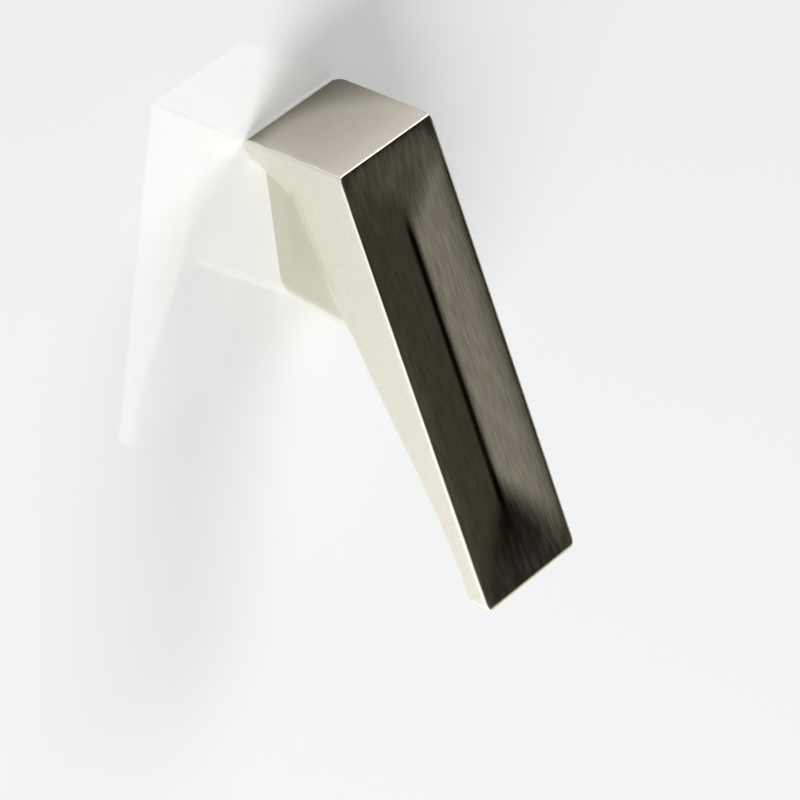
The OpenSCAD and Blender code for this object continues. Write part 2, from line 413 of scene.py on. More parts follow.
# What the skins are mixed from: marks and grain, the surface's place and direction, and masks
def readSurface(tree, setup):
    coords = addNode(tree, "TexCoord")
    uv = addNode(tree, "UVMap", uv_map="brushing").outputs[0]
    grain = addGrain(tree, coords, setup["grainSize"], setup["mottleSize"])
    marks = addNode(tree, "Group", node_tree=brushGroup,
                    inputs={"UV": uv, "Width": setup["markWidth"], "Length": setup["markLength"]})
    inMm = scaled(tree, coords.outputs["Object"], (1 / mm, 1 / mm, 1 / mm))
    x, y, z = addNode(tree, "SeparateXYZ", {0: inMm}).outputs
    at = {"x": x, "depth": product(tree, y, -1.0), "fall": mathOf(tree, "SUBTRACT", topZ / mm, z),
          "downFront": addNode(tree, "SeparateXYZ", {0: uv}).outputs[1],
          "grain": grain.outputs["Height"], "mottle": grain.outputs["Mottle"],
          "fine": marks.outputs["Fine"], "broad": marks.outputs["Broad"]}
    at["fromTip"] = mathOf(tree, "SUBTRACT", frontLength, at["downFront"])
    at["fromRight"] = mathOf(tree, "SUBTRACT", halfWidth, x)
    at["fromCrease"] = mathOf(tree, "ABSOLUTE", mathOf(tree, "SUBTRACT", x, setup["creaseX"]))
    at["pastPost"] = mathOf(tree, "SUBTRACT", mathOf(tree, "ABSOLUTE", x), setup["postHalf"])
    for name, direction in (("facing", setup["frontAndTop"]), ("upward", (0, 0, 1)),
                            ("downward", (0, 0, -1)), ("sideways", (1, 0, 0))):
        at[name] = dotWith(tree, coords.outputs["Normal"], direction)
    at["sideways"] = mathOf(tree, "ADD", mathOf(tree, "ABSOLUTE", at["sideways"]),
                            swing(tree, at["mottle"], 0, setup["ragged"]))
    masks = {}
    for name, steps in nickelMasks.items():
        masks[name] = product(tree, *[smoothStep(tree, at[key], *ends) for key, ends in steps.items()])
    return at, masks


# The front and the top: streaks along the brush, painted shade along the rail and painted light at the
# front of the top
def brushedSkin(tree, setup, at, masks):
    ends = mathOf(tree, "MAXIMUM", masks["upperEnd"], masks["lowerEnd"])
    ends = mathOf(tree, "MAXIMUM", ends, product(tree, masks["leftSide"], setup["leftShare"]))
    rough = mathOf(tree, "ADD", product(tree, ends, setup["endRough"]),
                   swing(tree, at["broad"], setup["brushedRough"], setup["roughStreaks"]))
    toRight = mathOf(tree, "SUBTRACT", at["x"], setup["railShadeX"])
    reach = mathOf(tree, "MULTIPLY_ADD", product(tree, toRight, toRight), setup["railShadeSpread"],
                   setup["railShadeReach"])
    outOfShade = smoothStep(tree, at["depth"], setup["railShadeStart"], reach)
    coarse = mathOf(tree, "MULTIPLY_ADD", masks["onTop"], setup["topStreaks"] - 1, 1.0)
    streaks = mathOf(tree, "ADD", swing(tree, at["fine"], 0, setup["streaks"]),
                     swing(tree, at["broad"], 0, setup["broadStreaks"]))
    streaks = mathOf(tree, "MULTIPLY_ADD", streaks, coarse, 1.0)
    gain = product(tree, masks["topFront"], setup["frontLight"])
    streaks = mathOf(tree, "MULTIPLY_ADD", gain, masks["onTop"], streaks)
    color = scaled(tree, mixColors(tree, outOfShade, setup["railShade"], setup["brushed"]), streaks)
    height = mathOf(tree, "MULTIPLY_ADD", at["broad"], setup["broadDepth"], at["fine"])
    return color, rough, product(tree, height, setup["markDepth"] * mm, coarse)


# Everything else: painted shade darkens the post, and painted light brightens the undersides and the heel's
# end by the rail
def blastedSkin(tree, setup, at, masks):
    heelLight = product(tree, masks["heelLight"], setup["heelLight"], masks["outer"])
    low = mathOf(tree, "MAXIMUM", masks["postFoot"], masks["postRail"])
    color = mixColors(tree, masks["outer"], setup["postShade"], setup["blasted"])
    color = mixColors(tree, heelLight, color, setup["paintedLightBelow"])
    color = mixColors(tree, product(tree, masks["below"], low), color, setup["paintedLightBelow"])
    color = scaled(tree, color, swing(tree, at["grain"], 1, setup["speckle"]))
    rough = swing(tree, at["mottle"], setup["blastedRough"], setup["roughMottle"])
    return color, rough, product(tree, at["grain"], setup["grainDepth"] * mm)


# Wear on the side edges, patchy along the top, and a painted highlight on the polished edge between the top
# and the front
def wearAndHighlight(tree, setup, masks):
    patchy = mixValues(tree, masks["sideOnTop"], 1.0, product(tree, masks["chips"], setup["topWear"]))
    side = product(tree, masks["side"], masks["flatSide"], patchy)
    edge = mathOf(tree, "MAXIMUM", side, product(tree, masks["nose"], masks["flatTop"]))
    return (edge, mixColors(tree, side, setup["polishedHighlight"], setup["worn"]),
            mixValues(tree, side, setup["polishedRough"], setup["wornRough"]))


# The top and the dished front are brushed, and everything else is blasted
def makeNickel(setup):
    material, tree = startMaterial("satinNickel")
    at, masks = readSurface(tree, setup)
    blasted = blastedSkin(tree, setup, at, masks)
    brushed = brushedSkin(tree, setup, at, masks)
    color = mixColors(tree, masks["brushed"], blasted[0], brushed[0])
    rough = mixValues(tree, masks["brushed"], blasted[1], brushed[1])
    height = mixValues(tree, masks["brushed"], blasted[2], brushed[2])
    # painted warm fringe along the right edge and the tip
    paintedRim = product(tree, mathOf(tree, "MAXIMUM", masks["rightRim"], masks["tipRim"]), masks["rimEdge"])
    # Laid over it: wear with its painted highlight, painted shade in the valley, and the painted warm rim
    for mask, coatColor, coatRough in (wearAndHighlight(tree, setup, masks),
                                       (masks["valleyShade"], setup["valleyShade"], setup["creaseRough"]),
                                       (paintedRim, setup["paintedRim"], setup["rimRough"])):
        color = mixColors(tree, mask, color, coatColor)
        rough = mixValues(tree, mask, rough, coatRough)
    tangent = addNode(tree, "Tangent", direction_type="UV_MAP", uv_map="brushing")
    finishMetal(tree, color, rough, height,
                {"Anisotropic": setup["anisotropy"], "Tangent": tangent.outputs[0]})
    return material


steels = {
    "zincPlatedSteel": {"color": (0.70, 0.72, 0.74, 1), "tint": (0.62, 0.64, 0.62, 1), "rough": 0.36,
                        "grainSize": 0.25, "grainDepth": 0.003},
    "screwSteel": {"color": (0.76, 0.76, 0.75, 1), "tint": (0.66, 0.66, 0.63, 1), "rough": 0.24,
                   "grainSize": 0.12, "grainDepth": 0.0012},
    "blackSteel": {"color": (0.055, 0.055, 0.06, 1), "tint": (0.085, 0.08, 0.078, 1), "rough": 0.40,
                   "grainSize": 0.15, "grainDepth": 0.002},
}
steelClouds = {"size": 1.6, "edges": (0.35, 0.65), "rough": 0.16}


def makeSteel(name):
    setup = steels[name]
    material, tree = startMaterial(name)
    grain = addGrain(tree, addNode(tree, "TexCoord"), setup["grainSize"], steelClouds["size"])
    cloud = smoothStep(tree, grain.outputs["Mottle"], *steelClouds["edges"])
    color = mixColors(tree, cloud, setup["color"], setup["tint"])
    rough = swing(tree, grain.outputs["Mottle"], setup["rough"], steelClouds["rough"])
    height = product(tree, grain.outputs["Height"], setup["grainDepth"] * mm)
    finishMetal(tree, color, rough, height)
    return material


satinNickel = makeNickel(nickel)
zincPlated = makeSteel("zincPlatedSteel")
screwSteel = makeSteel("screwSteel")
blackSteel = makeSteel("blackSteel")
print("materials built")

# Shape helpers: an outline point is (distance from the rail, height from the top), in millimetres


def heading(degrees):
    angle = radians(degrees)
    return Vector((cos(angle), sin(angle)))


def polar(centre, radius, degrees):
    return centre + heading(degrees) * radius


def ramp(value, low, high):
    t = min(1, max(0, (value - low) / (high - low)))
    return t * t * (3 - 2 * t)


def smoothMin(a, b, blend):
    overlap = max(blend - abs(a - b), 0) / blend
    return min(a, b) - overlap * overlap * blend / 4


# How far a round of that radius has cut in, this far from the face it starts at
def roundOff(radius, depth):
    if depth >= radius:
        return 0
    return radius - sqrt(radius ** 2 - (radius - max(depth, 0)) ** 2)


def place(x, point):
    return Vector((x * mm, -point.x * mm, topZ + point.y * mm))


def addPiece(name, bm, material):
    mesh = bpy.data.meshes.new(name)
    bm.to_mesh(mesh)
    bm.free()
    mesh.materials.append(material)
    return addObject(name, mesh)


# Joins or cuts with another mesh and throws the tool away
def carve(piece, tool, operation):
    boolean = piece.modifiers.new("carve", "BOOLEAN")
    boolean.object = tool
    boolean.operation = operation
    boolean.solver = "EXACT"
    depsgraph = bpy.context.evaluated_depsgraph_get()
    result = bpy.data.meshes.new_from_object(piece.evaluated_get(depsgraph))
    piece.modifiers.clear()
    spare = piece.data
    piece.data = result
    result.name = spare.name
    bpy.data.meshes.remove(spare)
    bpy.data.meshes.remove(tool.data)


# Smooth shading, broken along the edges sharper than that angle
def finishShading(piece, sharpAngle):
    piece.data.shade_smooth()
    piece.data.set_sharp_from_angle(angle=radians(sharpAngle))
    normals = piece.modifiers.new("normals", "WEIGHTED_NORMAL")
    normals.keep_sharp = True
    normals.weight = 80


def joinRings(bm, a, b):
    for k in range(len(a)):
        n = (k + 1) % len(a)
        bm.faces.new((a[k], a[n], b[n], b[k]))


def onCircle(radius, share, z):
    angle = 2 * pi * share
    return (radius * mm * cos(angle), radius * mm * sin(angle), z * mm)


# Rings about the Z axis, one for each (radius, height)
def addRings(bm, points, steps):
    rings = [[bm.verts.new(onCircle(radius, k / steps, z)) for k in range(steps)] for radius, z in points]
    for a, b in zip(rings, rings[1:]):
        joinRings(bm, a, b)


# Merges points nearer than that, in metres, and closes what is open
def sewUp(bm, merge=1e-6):
    bmesh.ops.remove_doubles(bm, verts=bm.verts, dist=merge)
    bmesh.ops.dissolve_degenerate(bm, edges=bm.edges, dist=merge / 10)
    bmesh.ops.holes_fill(bm, edges=bm.edges, sides=0)
    bmesh.ops.recalc_face_normals(bm, faces=bm.faces)
    return bm


def turned(points, steps=48):
    bm = bmesh.new()
    addRings(bm, points, steps)
    return sewUp(bm)


# Handle body: a bent bar of rings, from the rail along the heel, then down the arm

arm = {
    "headDepth": 16.4,
    "rootThick": 9.2,
    "tipThick": 3.0,
    "tipRound": 3.0,
    "lowerCorner": 1.7,  # seen from the front
    "slimLength": 5.6,  # straight and slim, up from the tip
    "slimReach": 23.6,  # handles of the back's curve, up from the tip
    "stoutReach": 33.5,
    "slimSwell": 0.5,
    "headCornerLeft": 0.3,  # seen from above
    "headCornerRight": 1.8,
    "frontCorner": 0.7,  # ends of the crisp edge between the top and the front
    "heelThick": 4.6,
    "heelRound": 2.7,
    "heelCove": 1.8,
    "backEdge": 0.4,
    "frontEdge": 0.3,
    "frontEdgeTip": 0.45,  # the left edge of the front widens towards the tip
    "tipEdge": 0.6,
    "tipFade": (0.2, 1.5),  # and narrows again over this stretch up from the tip
    "topEdge": 0.45,  # hand-worn left edge of the top
    "topFade": (0.3, 2.5),  # reached over this stretch back from the front
    "railFade": (0, 1),  # and this one out from the rail
    "uneven": 0.3,
    "unevenScale": 0.45,  # per mm
    "unevenSeed": 3.7,
    "heelEdge": 1.8,  # lower side edges of the heel's end
    "armEdge": 0.45,  # cast edges behind the arm
    "endRun": (-1, 1.6, 5),  # from the rail: where that edge begins, is full and has run out
    "sharpAngle": 40,
}

ringCounts = {
    "railEnd": 8,
    "heel": 14,
    "top": 24,
    "frontCorner": 6,
    "besideCove": 6,
    "tipStraight": 8,
    "tipTurn": 8,
    "across": 48,
    "side": 8,
    "edge": 5,
    "armSpacing": 0.37,  # mm between the rings down the arm
}

dish = {
    "depth": 1.3,
    "valleyStart": 10.5,  # down from the top
    "valleyEnd": 12.5,  # up from the tip
    "lipTop": 0.4,
    "lipSide": 0.05,
    "lipTip": 0.1,
    "valleyX": 0.4,  # the bottom of the dish is ground a little right of the middle
    "valleyWidth": 1.8,  # rounded bottom of the valley
    "endEase": 0.22,  # how much the end slopes flatten towards the lip
    "rightEase": 0.5,  # and the outer half of the right slope
    "hipSoft": 0.6,
    "lipSoft": 0.12,
}

frontTop = Vector((arm["headDepth"], 0))
down = Vector((sin(tilt), -cos(tilt)))
inward = Vector((-cos(tilt), -sin(tilt)))
# The cove touches the heel's underside and the back of the arm
coveCentre = Vector((0, -arm["heelThick"] - arm["heelCove"]))
coveCentre.x = arm["headDepth"] - (arm["rootThick"] + arm["heelCove"]) / cos(tilt)
coveCentre.x -= coveCentre.y * tan(tilt)


def onArm(s, t):
    return frontTop + down * s + inward * t


# Thickness of the arm: stout under the head, drawn in at the middle, slim at the tip
def armThickness(s):
    curve = [(arm["heelThick"], arm["rootThick"]),
             (frontLength - arm["stoutReach"], arm["rootThick"]),
             (frontLength - arm["slimReach"], arm["tipThick"] + arm["slimSwell"]),
             (frontLength - arm["slimLength"], arm["tipThick"])]
    target = min(max(s, curve[0][0]), curve[3][0])

    def along(u, axis):
        a, b, c, d = [point[axis] for point in curve]
        return (1 - u) ** 3 * a + 3 * u * (1 - u) ** 2 * b + 3 * u * u * (1 - u) * c + u ** 3 * d

    # Halving finds the place on the curve
    low, high = 0.0, 1.0
    for _ in range(30):
        middle = (low + high) / 2
        if along(middle, 0) < target:
            low = middle
        else:
            high = middle
    return along(low, 1)


# Rises from 0 to 1, steeper at first
def endEasing(u):
    return u * (1 + dish["endEase"] * (1 - u))


def sideEasing(u, x):
    ease = dish["rightEase"] if x > 0 else 0
    return (u - ease * max(0, u - 0.5) ** 3) / (1 - ease / 8)


def dishDepth(x, s):
    depth = dish["depth"]
    blend = dish["valleyWidth"]
    x -= dish["valleyX"]
    fromValley = -smoothMin(-x, x, blend) - blend / 4
    run = halfWidth - dish["lipSide"] - blend / 4 - copysign(dish["valleyX"], x)
    sides = depth - depth * sideEasing(fromValley / run, x)
    start, end = dish["valleyStart"], dish["valleyEnd"]
    upper = depth - depth * endEasing((start - s) / (start - dish["lipTop"]))
    lower = depth - depth * endEasing((end - frontLength + s) / (end - dish["lipTip"]))
    depth = smoothMin(smoothMin(sides, upper, dish["hipSoft"]), lower, dish["hipSoft"])
    return max(0, -smoothMin(-depth, 0, dish["lipSoft"]) - dish["lipSoft"] / 4)


# A row holds a front point, its inward normal, a back point, its inward normal and, on the
# front, the distance down it
def heelRows():
    back, thick, heelRound = arm["backEdge"], arm["heelThick"], arm["heelRound"]
    rows = []
    steps = ringCounts["railEnd"]
    for i in range(steps):
        turn = 90 * i / steps
        f = polar(Vector((back, -back)), back, 180 - turn)
        g = polar(Vector((heelRound, heelRound - thick)), heelRound, 180 + turn)
        rows.append((f, -heading(180 - turn), g, -heading(180 + turn), None))
    steps = ringCounts["heel"]
    for i in range(steps):
        u = i / steps
        f = Vector((back + (coveCentre.x - back) * u, 0))
        g = Vector((heelRound + (coveCentre.x - heelRound) * u, -thick))
        rows.append((f, Vector((0, -1)), g, Vector((0, 1)), None))
    return rows


# Rings fan round the cove, over the top, round the crisp front edge and onto the front
def fanRows(coveS):
    edge = arm["frontEdge"]
    cornerReach = edge / tan(radians(90 + frontTilt) / 2)
    corner = Vector((arm["headDepth"] - cornerReach, -edge))
    fan = []
    steps = ringCounts["top"]
    for i in range(steps):
        x = coveCentre.x + (corner.x - coveCentre.x) * i / steps
        fan.append((Vector((x, 0)), Vector((0, -1)), None))
    steps = ringCounts["frontCorner"]
    for i in range(steps):
        turn = 90 + (frontTilt - 90) * i / steps
        fan.append((polar(corner, edge, turn), -heading(turn), None))
    steps = ringCounts["besideCove"]
    for i in range(steps):
        s = cornerReach + (coveS - cornerReach) * i / steps
        fan.append((onArm(s, 0), inward, s))
    rows = []
    for f, normal, s in fan:
        spoke = (f - coveCentre).normalized()
        rows.append((f, normal, coveCentre + spoke * arm["heelCove"], spoke, s))
    return rows


# Straight rings down the arm
def armRows(startS, endS):
    rows = []
    steps = round((endS - startS) / ringCounts["armSpacing"])
    for i in range(steps):
        s = startS + (endS - startS) * i / steps
        slope = (armThickness(s + 0.1) - armThickness(s - 0.1)) / 0.2
        normal = (-inward + down * slope).normalized()
        rows.append((onArm(s, 0), inward, onArm(s, armThickness(s)), normal, s))
    return rows


# The tip: a crisp corner in front, a full round behind
def tipRows(roundS, overlap):
    edge = arm["tipEdge"]
    tipS = (armHeight - edge - edge * sin(tilt)) / cos(tilt)
    straight, turning = ringCounts["tipStraight"], ringCounts["tipTurn"]
    rows = []
    for i in range(straight + turning + 1):
        b = 180 + frontTilt + (90 - frontTilt) * i / (straight + turning)
        if i < straight:
            s = roundS + (tipS - roundS) * i / straight
            f, normal = onArm(s, 0), inward
        else:
            a = frontTilt - (90 + frontTilt) * (i - straight) / turning
            f, normal, s = polar(onArm(tipS, edge), edge, a), -heading(a), None
        rows.append((f, normal, polar(onArm(roundS, overlap), arm["tipRound"], b), -heading(b), s))
    return rows


def barRows():
    coveS = (coveCentre - frontTop).dot(down)
    overlap = arm["tipThick"] - arm["tipRound"]
    roundS = (armHeight - arm["tipRound"] - overlap * sin(tilt)) / cos(tilt)
    return heelRows() + fanRows(coveS) + armRows(coveS, roundS) + tipRows(roundS, overlap)


# Width left by the round corners of the head, of the crisp front edge and of the tip
def squeeze(x, point):
    headCorner = arm["headCornerLeft"] if x < 0 else arm["headCornerRight"]
    cut = roundOff(headCorner, point.x) + roundOff(arm["frontCorner"], (point - frontTop).length)
    cut += roundOff(arm["lowerCorner"], point.y + armHeight)
    return x * (halfWidth - cut) / halfWidth


# Radius of the left edge of the top and the front: worn and uneven on top, wider towards the tip
def leftEdge(row):
    front, s = row[0], row[4]
    edge = arm["frontEdge"]
    if s is not None:
        start, full = arm["tipFade"]
        growth = ramp(s, 0, frontLength - full) * ramp(frontLength - s, start, full)
        return edge + (arm["frontEdgeTip"] - edge) * growth
    worn = ramp(arm["headDepth"] - front.x, *arm["topFade"])
    worn *= ramp(front.x, *arm["railFade"])
    spot = Vector((front.x * arm["unevenScale"], arm["unevenSeed"], 0))
    return edge + worn * (arm["topEdge"] - edge + arm["uneven"] * noise.noise(spot))


# Radius of the side edges behind: full at the heel's end by the rail, crisp beyond it
def castEdge(row):
    start, full, gone = arm["endRun"]
    heel = arm["frontEdge"] + (arm["heelEdge"] - arm["frontEdge"]) * ramp(row[2].x, start, full)
    return heel + (arm["armEdge"] - heel) * ramp(row[2].x, full, gone)


def armRing(row, softness, left):
    front, frontIn, back, backIn, s = row
    right = arm["frontEdge"]
    steps, columns, sideSteps = ringCounts["edge"], ringCounts["across"], ringCounts["side"]
    ring = []

    def edgeRound(side, point, normal, radius, turns, sunk=0):
        for turn in turns:
            out = heading(turn)
            ring.append((side * (halfWidth - radius + radius * out.y),
                         point + normal * (radius - (radius - sunk) * out.x)))

    def depthAt(x):
        return dishDepth(x, s) if s is not None else 0

    opening = [90 - 90 * k / steps for k in range(steps)]
    closing = [90 * k / steps for k in range(1, steps + 1)]
    edgeRound(-1, front, frontIn, left, opening, depthAt(left - halfWidth))
    for k in range(columns + 1):
        x = left - halfWidth + (2 * halfWidth - left - right) * k / columns
        ring.append((x, front + frontIn * depthAt(x)))
    edgeRound(1, front, frontIn, right, closing, depthAt(halfWidth - right))
    backSide = back + backIn * softness
    for k in range(1, sideSteps):
        ring.append((halfWidth, (front + frontIn * right).lerp(backSide, k / sideSteps)))
    edgeRound(1, back, backIn, softness, opening)
    for k in range(columns + 1):
        ring.append(((halfWidth - softness) * (1 - 2 * k / columns), back))
    edgeRound(-1, back, backIn, softness, closing)
    for k in range(1, sideSteps):
        ring.append((-halfWidth, backSide.lerp(front + frontIn * left, k / sideSteps)))
    return ring


def buildArm(rows):
    bm = bmesh.new()
    rings = []
    for row in rows:
        ring = armRing(row, castEdge(row), leftEdge(row))
        rings.append([bm.verts.new(place(squeeze(x, point), point)) for x, point in ring])
    for upper, lower in zip(rings, rings[1:]):
        joinRings(bm, upper, lower)
    # Caps: strips between the front and the back of the first and the last ring
    wide = ringCounts["across"] + 2 * ringCounts["edge"]
    between = ringCounts["side"] - 1
    for ring, flip in ((rings[0], False), (rings[-1], True)):
        fronts = ring[:wide + 1]
        backs = ring[wide + 1 + between:2 * wide + 2 + between][::-1]
        lefts = ring[2 * wide + 2 + between:]
        rights = ring[wide + 1:wide + 1 + between]
        for k in range(wide):
            loop = [fronts[k + 1], fronts[k]]
            if k == 0:
                loop += lefts[::-1]
            loop += [backs[k], backs[k + 1]]
            if k == wide - 1:
                loop += rights[::-1]
            bm.faces.new(loop[::-1] if flip else loop)
    return sewUp(bm, 1e-7)


post = {
    "width": 11.7,
    "height": 28.5,
    "sideRound": 3.7,  # lower side edges
    "backRound": 1.6,  # lower edge at the rail
    "draft": 0.11,  # the flanks widen this much per mm from the rail
    "heelFlare": 7.0,  # reach of the cast fillet under the head
    "armFlare": 2.4,  # and at the foot of the post
    "railFlare": 1.2,  # and along the heel's end at the rail
    "railHalf": 7.0,  # how wide it gets there
    "inset": 0.06,  # and how far inside the arm's sides elsewhere
    "sink": 2.5,  # how far it runs into the heel and the arm
    "flankSteps": 36,
    "flankBias": 1.4,  # above 1 the steps are closer under the heel
    "floorSteps": 12,
    "depthSteps": 8,
    "farSteps": 10,
}


# Distance from a point to a line of points
def distanceTo(point, line):
    best = 1e9
    for a, b in zip(line, line[1:]):
        along = b - a
        length = along.length_squared
        t = 0 if length < 1e-12 else min(1, max(0, (point - a).dot(along) / length))
        best = min(best, (point - a - along * t).length_squared)
    return sqrt(best)


# Down the left side, round the bottom and up the right: (x, height)
def postOutline(half, heel, bottom):
    lowest = bottom + post["sideRound"]
    flat = half - post["sideRound"]
    outline = [(-half, heel + post["sink"])]
    steps = post["flankSteps"]
    for k in range(steps + 1):
        outline.append((-half, heel + (lowest - heel) * (k / steps) ** post["flankBias"]))
    for k in range(1, 9):
        outline.append(tuple(polar(Vector((-flat, lowest)), post["sideRound"], 180 + 90 * k / 8)))
    for k in range(1, post["floorSteps"] // 2):
        outline.append((-flat + 2 * flat * k / post["floorSteps"], bottom))
    return outline + [(-x, height) for x, height in reversed(outline)]


# Depths of its rings, from the round at the rail to inside the arm
def postDepths(reach):
    start, middle = post["backRound"], reach / 2
    steps, far = post["depthSteps"], post["farSteps"]
    depths = [start * (1 - cos(pi / 2 * k / steps)) for k in range(steps + 1)]
    depths += [start + (middle - start) * k / steps for k in range(1, steps + 1)]
    depths += [middle + middle * sin(pi / 2 * k / far) for k in range(1, far + 1)]
    return depths + [reach + post["sink"]]


def buildPost(rows):
    backLine = [row[2] for row in rows]
    falling = [p for p in backLine if p.x >= coveCentre.x]
    half = post["width"] / 2
    bottom = -post["height"]
    heel = -arm["heelThick"]

    def armDepth(height):
        for a, b in zip(falling, falling[1:]):
            if a.y >= height > b.y:
                return a.x + (b.x - a.x) * (a.y - height) / (a.y - b.y)
        return falling[0].x

    # How far the flank stands out past the post's own width
    def flankOut(depth, height, gap):
        draft = post["draft"] * min(depth, armDepth(height))
        inner = ramp(depth, *arm["endRun"][1:])
        fade = ramp(heel - height, 0, heel - bottom)
        reach = post["heelFlare"] + (post["armFlare"] - post["heelFlare"]) * fade
        reach = post["railFlare"] + (reach - post["railFlare"]) * inner
        widest = post["railHalf"] + (halfWidth - post["inset"] - post["railHalf"]) * inner
        return draft + max(0, widest - half - draft) * max(0, 1 - gap / reach) ** 2

    bm = bmesh.new()
    columns = []
    for x, height in postOutline(half, heel, bottom):
        reach = armDepth(height)
        column = []
        for depth in postDepths(reach):
            inside = depth >= reach or height >= heel + roundOff(arm["heelRound"], depth)
            gap = 0 if inside else distanceTo(Vector((depth, height)), backLine)
            wide = half + flankOut(depth, height, gap)
            lift = max(0, roundOff(post["backRound"], depth) * (heel - height) / (heel - bottom))
            column.append(bm.verts.new(place(x * wide / half, Vector((depth, height + lift)))))
        columns.append(column)
    for left, right in zip(columns, columns[1:]):
        for k in range(len(left) - 1):
            bm.faces.new((left[k], right[k], right[k + 1], left[k + 1]))
    # Close the rail end, the far end and the hidden top
    bm.faces.new([column[0] for column in columns][::-1])
    bm.faces.new([column[-1] for column in columns])
    bm.faces.new(columns[0] + columns[-1][::-1])
    return sewUp(bm, 1e-7)


pocket = {
    "width": 9.0,
    "lipDrop": 5.4,
    "floor": 3.2,
    "depth": 8.0,
    "slopeDepth": 5.15,
    "dovetail": 15,  # degrees
    "grubHoleRadius": 2.05,
    "grubDepth": 3.6,
    "over": 1,  # how far the cutters run past what they cut
}


def prismAcross(outline, width):
    bm = bmesh.new()
    left = [bm.verts.new(place(-width / 2, point)) for point in outline]
    right = [bm.verts.new(place(width / 2, point)) for point in outline]
    joinRings(bm, right, left)
    return sewUp(bm)


def buildPocket():
    lip = -pocket["lipDrop"]
    floor = -post["height"] + pocket["floor"]
    ceiling = lip + pocket["slopeDepth"] * tan(radians(pocket["dovetail"]))
    over = pocket["over"]
    points = [(-over, floor), (-over, lip), (0, lip), (pocket["slopeDepth"], ceiling),
              (pocket["depth"], ceiling), (pocket["depth"], floor)]
    return prismAcross([Vector(p) for p in points], pocket["width"])


def buildGrubHole():
    radius, over = pocket["grubHoleRadius"], pocket["over"]
    return turned([(radius, -over), (radius, pocket["floor"] + over)])


# The brush runs front to back over the top and then down the front
def layOutBrushing(mesh):
    for layer in list(mesh.uv_layers):
        mesh.uv_layers.remove(layer)
    layer = mesh.uv_layers.new(name="brushing")
    frontOut = Vector((0, -cos(tilt), sin(tilt)))
    frontShare, sideShare = 0.8, 0.7
    for polygon in mesh.polygons:
        onFront = polygon.normal.dot(frontOut) > frontShare
        sideways = abs(polygon.normal.x) > sideShare
        for corner in polygon.loop_indices:
            co = mesh.vertices[mesh.loops[corner].vertex_index].co / mm
            depth, height = -co.y, co.z - topZ / mm
            if sideways:
                layer.data[corner].uv = (depth, height)
            elif onFront:
                layer.data[corner].uv = (co.x, (Vector((depth, height)) - frontTop).dot(down))
            else:
                layer.data[corner].uv = (co.x, depth - arm["headDepth"])


barRowList = barRows()
handleBody = addPiece("handleBody", buildArm(barRowList), satinNickel)
carve(handleBody, addPiece("postTool", buildPost(barRowList), satinNickel), "UNION")
print("arm, heel and post joined:", len(handleBody.data.polygons), "faces")
carve(handleBody, addPiece("pocketTool", buildPocket(), satinNickel), "DIFFERENCE")
holeTool = addPiece("grubHoleTool", buildGrubHole(), satinNickel)
holeTool.location = place(0, Vector((pocket["grubDepth"], -post["height"])))
carve(handleBody, holeTool, "DIFFERENCE")
layOutBrushing(handleBody.data)
finishShading(handleBody, arm["sharpAngle"])
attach(handleBody, "handle")
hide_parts("handle_body")
print("handle body cut:", len(handleBody.data.polygons), "faces")

# Mounting plate: a dovetailed steel block with two countersunk holes

plate = {
    "slope": 15,  # degrees, of the dovetailed top and bottom edges
    "edge": 0.18,
    "edgeAngle": 32,  # edges sharper than this are softened
    "sharpAngle": 50,
    "screwSpacing": 8.0,
    "holeRadius": 1.6,
    "holeReach": 9.0,
    "sinkRadius": 2.9,
    "sinkDepth": 1.7,
}


def buildPlate():
    low = (plateLow.z - topZ) / mm
    high = (plateHigh.z - topZ) / mm
    thick = -plateLow.y / mm
    rise = thick * tan(radians(plate["slope"]))
    outline = [(0, low + rise), (thick, low), (thick, high), (0, high - rise)]
    return prismAcross([Vector(p) for p in outline], (plateHigh.x - plateLow.x) / mm)


def buildSink():
    hole, sink = plate["holeRadius"], plate["sinkRadius"]
    return turned([(sink + 1, 1), (sink, 0), (hole, -plate["sinkDepth"]), (hole, -plate["holeReach"])])


middle = (screwLow.z + screwHigh.z) / 2
screwHeights = [middle + side * plate["screwSpacing"] / 2 * mm for side in (-1, 1)]
mountingPlate = addPiece("mountingPlate", buildPlate(), zincPlated)
for height in screwHeights:
    tool = addPiece("sinkTool", buildSink(), zincPlated)
    tool.rotation_euler = (pi / 2, 0, 0)
    tool.location = (0, plateLow.y, height)
    carve(mountingPlate, tool, "DIFFERENCE")
bevel = mountingPlate.modifiers.new("softened", "BEVEL")
bevel.width = plate["edge"] * mm
bevel.segments = 3
bevel.limit_method = "ANGLE"
bevel.angle_limit = radians(plate["edgeAngle"])
finishShading(mountingPlate, plate["sharpAngle"])
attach(mountingPlate, "handle")
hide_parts("mounting_plate")
print("mounting plate built")

# Threads: rings of points sheared by one pitch a turn, so that each crest follows its helix

threadRun = (0.7, 0.4)  # share of a pitch over which a thread rises, and over which it fades


def addThread(bm, setup, coreAt, crestAt):
    steps, pitch, phases = setup["steps"], setup["pitch"], setup["phases"]
    start, stop = setup["start"], setup["stop"]
    rows = []
    for turn in range(ceil((stop - start) / pitch) + 2):
        for share, rise in phases:
            row = []
            for k in range(steps):
                z = start + (turn - 1 + share + k / steps) * pitch
                fade = ramp(z, start, start + pitch * threadRun[0])
                fade *= 1 - ramp(z, stop - pitch * threadRun[1], stop)
                z = min(stop, max(start, z))
                radius = coreAt(z) + (crestAt(z) - coreAt(z)) * rise * fade
                row.append(bm.verts.new(onCircle(radius, k / steps, z)))
            rows.append(row)
    perTurn = len(phases)
    for j in range(len(rows) - 1):
        for k in range(steps):
            if k < steps - 1:
                loop = (rows[j][k], rows[j][k + 1], rows[j + 1][k + 1], rows[j + 1][k])
            elif j + 1 + perTurn < len(rows):
                loop = (rows[j][k], rows[j + perTurn][0], rows[j + 1 + perTurn][0], rows[j + 1][k])
            else:
                continue
            bm.faces.new(loop)


